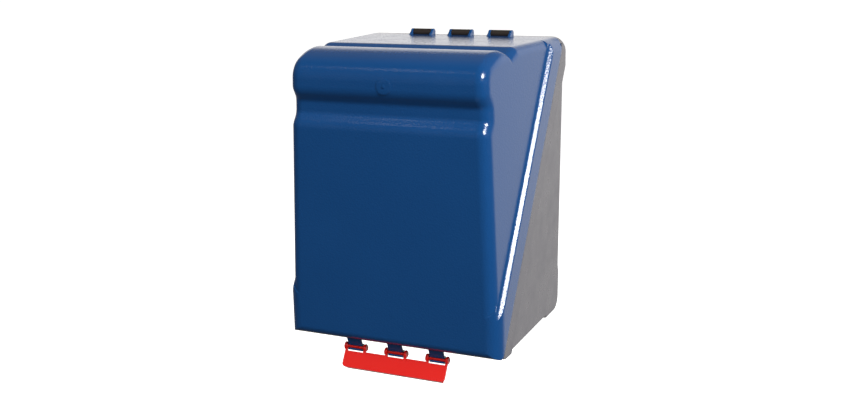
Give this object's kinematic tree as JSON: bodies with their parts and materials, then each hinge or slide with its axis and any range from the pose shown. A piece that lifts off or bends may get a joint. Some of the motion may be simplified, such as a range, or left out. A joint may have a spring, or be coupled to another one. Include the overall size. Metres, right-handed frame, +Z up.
{
  "type": "fire blanket wall case",
  "caption": "Hinged moulded wall case with a leaning parting line, hanging latch plate and a folded fire blanket inside.",
  "frame": {"origin": "centre of the four wall screw holes, on the wall plane", "axes": "+X to the right as seen from the room, -Y into the room, +Y into the wall, +Z up"},
  "size_m": [0.236, 0.1958, 0.3362],
  "materials": {
    "blue_shell": "glossy injection-moulded plastic with a fine grain",
    "grey_shell": "satin moulded plastic",
    "red_latch": "satin moulded plastic",
    "black_clip": "satin moulded plastic",
    "pin_steel": "drawn wire",
    "glass_cloth": "plain woven glass cloth",
    "tape": "woven webbing"
  },
  "bodies": {
    "case": {"rear_shell": "grey_shell", "hinge_clip_left": "black_clip", "hinge_clip_middle": "black_clip", "hinge_clip_right": "black_clip", "folded_blanket": "glass_cloth", "pull_tape_left": "tape", "pull_tape_right": "tape"},
    "cover": {"front_cover": "blue_shell", "hinge_pin_left": "pin_steel", "hinge_pin_middle": "pin_steel", "hinge_pin_right": "pin_steel"},
    "latch": {"latch_plate": "red_latch"}
  },
  "joints": [
    {"name": "cover_hinge", "type": "hinge", "parent": "case", "child": "cover", "pos_m": [0, -0.004, 0.1523], "axis": [-1, 0, 0], "range_deg": [0, 90]},
    {"name": "latch_hinge", "type": "hinge", "parent": "cover", "child": "latch", "pos_m": [0, -0.1805, -0.157], "axis": [1, 0, 0], "range_deg": [-59, 121]}
  ]
}
